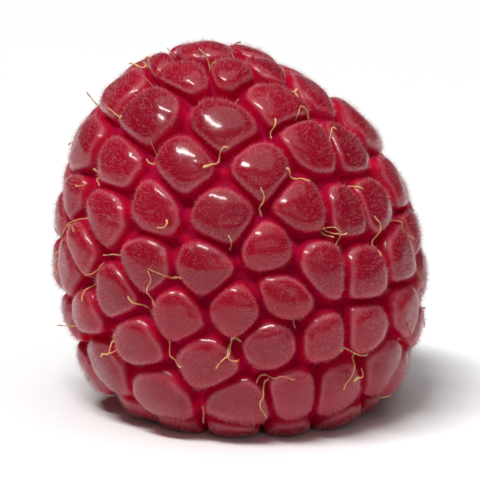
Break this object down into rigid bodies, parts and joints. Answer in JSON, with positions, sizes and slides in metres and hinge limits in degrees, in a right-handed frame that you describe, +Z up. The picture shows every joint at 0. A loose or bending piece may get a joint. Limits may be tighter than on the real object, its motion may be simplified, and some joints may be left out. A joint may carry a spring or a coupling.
{
  "type": "raspberry",
  "caption": "Ripe red raspberry: rounded drupelets fused in one body round an open hollow, standing on its rim with its tip up.",
  "frame": {"origin": "middle of the bounding box in X and Y, level with the surface that the rim stands on", "axes": "+Z up from the open rim to the tip; -Y is the front; the tip leans towards -X, the berry's longest way across is X"},
  "size_m": [0.021, 0.0206, 0.0209],
  "materials": {
    "fruit_skin": "satin"
  },
  "bodies": {
    "root": {"fruit": "fruit_skin"}
  },
  "joints": []
}
